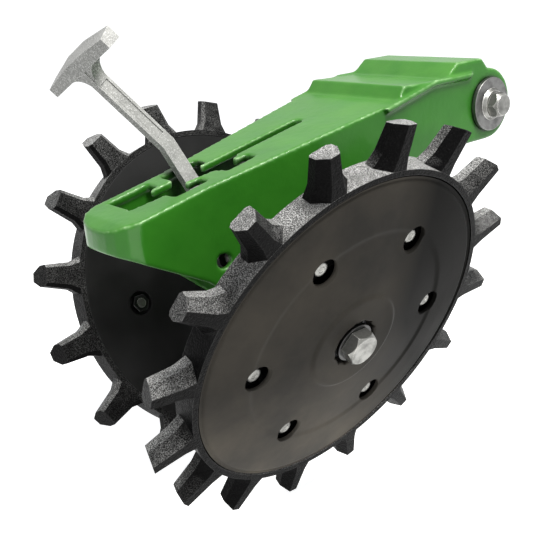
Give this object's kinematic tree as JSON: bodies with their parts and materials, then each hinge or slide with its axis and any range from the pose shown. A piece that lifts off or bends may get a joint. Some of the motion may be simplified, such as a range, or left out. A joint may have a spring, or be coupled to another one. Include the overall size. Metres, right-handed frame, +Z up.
{
  "type": "planter closing wheel",
  "caption": "Pair of canted spiked closing wheels on a cast trailing arm with a notched down-pressure lever and springs, for firming soil over a planted furrow.",
  "frame": {"origin": "middle of the arm's pivot axis, half way between the two ears", "axes": "+X points forward toward the planter, +Y to the machine's left along the pivot axis, +Z up"},
  "size_m": [0.4152, 0.3096, 0.3855],
  "materials": {
    "green_paint": "semi-gloss paint over a cast surface",
    "cast_black": "rough black-coated casting",
    "cover_grey": "satin dark grey coating",
    "plate_black": "satin black paint",
    "zinc_steel": "bright zinc plating",
    "bearing_steel": "ground bearing steel",
    "seal_rubber": "black moulded rubber",
    "spring_steel": "dark oiled spring wire",
    "lever_iron": "zinc-plated rough casting",
    "washer_black": "black oxide"
  },
  "bodies": {
    "pivot": {"right_pivot_bush": "bearing_steel", "right_pivot_washer": "washer_black", "right_pivot_bolt": "zinc_steel", "left_pivot_bush": "bearing_steel", "left_pivot_washer": "washer_black", "left_pivot_bolt": "zinc_steel"},
    "arm": {"arm_casting": "green_paint", "yoke_pin": "zinc_steel", "yoke_pin_clip": "spring_steel", "right_spring": "spring_steel", "left_spring": "spring_steel", "right_bearing_inner_race": "bearing_steel", "right_axle_bolt": "zinc_steel", "right_axle_washer": "zinc_steel", "right_axle_spacer": "zinc_steel", "right_axle_lock_washer": "zinc_steel", "right_axle_nut": "zinc_steel", "left_bearing_inner_race": "bearing_steel", "left_axle_bolt": "zinc_steel", "left_axle_washer": "zinc_steel", "left_axle_spacer": "zinc_steel", "left_axle_lock_washer": "zinc_steel", "left_axle_nut": "zinc_steel"},
    "right_wheel": {"right_spike_ring": "cast_black", "right_outer_cover": "cover_grey", "right_hub_plate": "plate_black", "right_bearing_outer_race": "bearing_steel", "right_bearing_balls": "bearing_steel", "right_bearing_seals": "seal_rubber", "right_bearing_snap_ring": "spring_steel", "right_plate_bolts": "zinc_steel", "right_plate_nuts": "zinc_steel"},
    "left_wheel": {"left_spike_ring": "cast_black", "left_outer_cover": "cover_grey", "left_hub_plate": "plate_black", "left_bearing_outer_race": "bearing_steel", "left_bearing_balls": "bearing_steel", "left_bearing_seals": "seal_rubber", "left_bearing_snap_ring": "spring_steel", "left_plate_bolts": "zinc_steel", "left_plate_nuts": "zinc_steel"},
    "yoke": {"lever_yoke": "plate_black", "spring_bar": "zinc_steel", "tilt_pin": "zinc_steel"},
    "lever": {"lever": "lever_iron"}
  },
  "joints": [
    {"name": "arm_pivot", "type": "hinge", "parent": "pivot", "child": "arm", "pos_m": [0, 0, 0], "axis": [0, 1, 0], "range_deg": [-12, 18]},
    {"name": "right_wheel_spin", "type": "hinge", "parent": "arm", "child": "right_wheel", "pos_m": [-0.2204, -0.0882, -0.1254], "axis": [0, -0.9336, -0.3584], "continuous": true},
    {"name": "left_wheel_spin", "type": "hinge", "parent": "arm", "child": "left_wheel", "pos_m": [-0.1996, 0.0882, -0.1346], "axis": [0, 0.9336, -0.3584], "continuous": true},
    {"name": "yoke_swing", "type": "hinge", "parent": "arm", "child": "yoke", "pos_m": [-0.253, 0, -0.078], "axis": [0, 1, 0], "range_deg": [-7, 7], "deforming": ["right_spring", "left_spring"]},
    {"name": "lever_tilt", "type": "hinge", "parent": "yoke", "child": "lever", "pos_m": [-0.253, 0, -0.058], "axis": [1, 0, 0], "range_deg": [0, 17]}
  ]
}
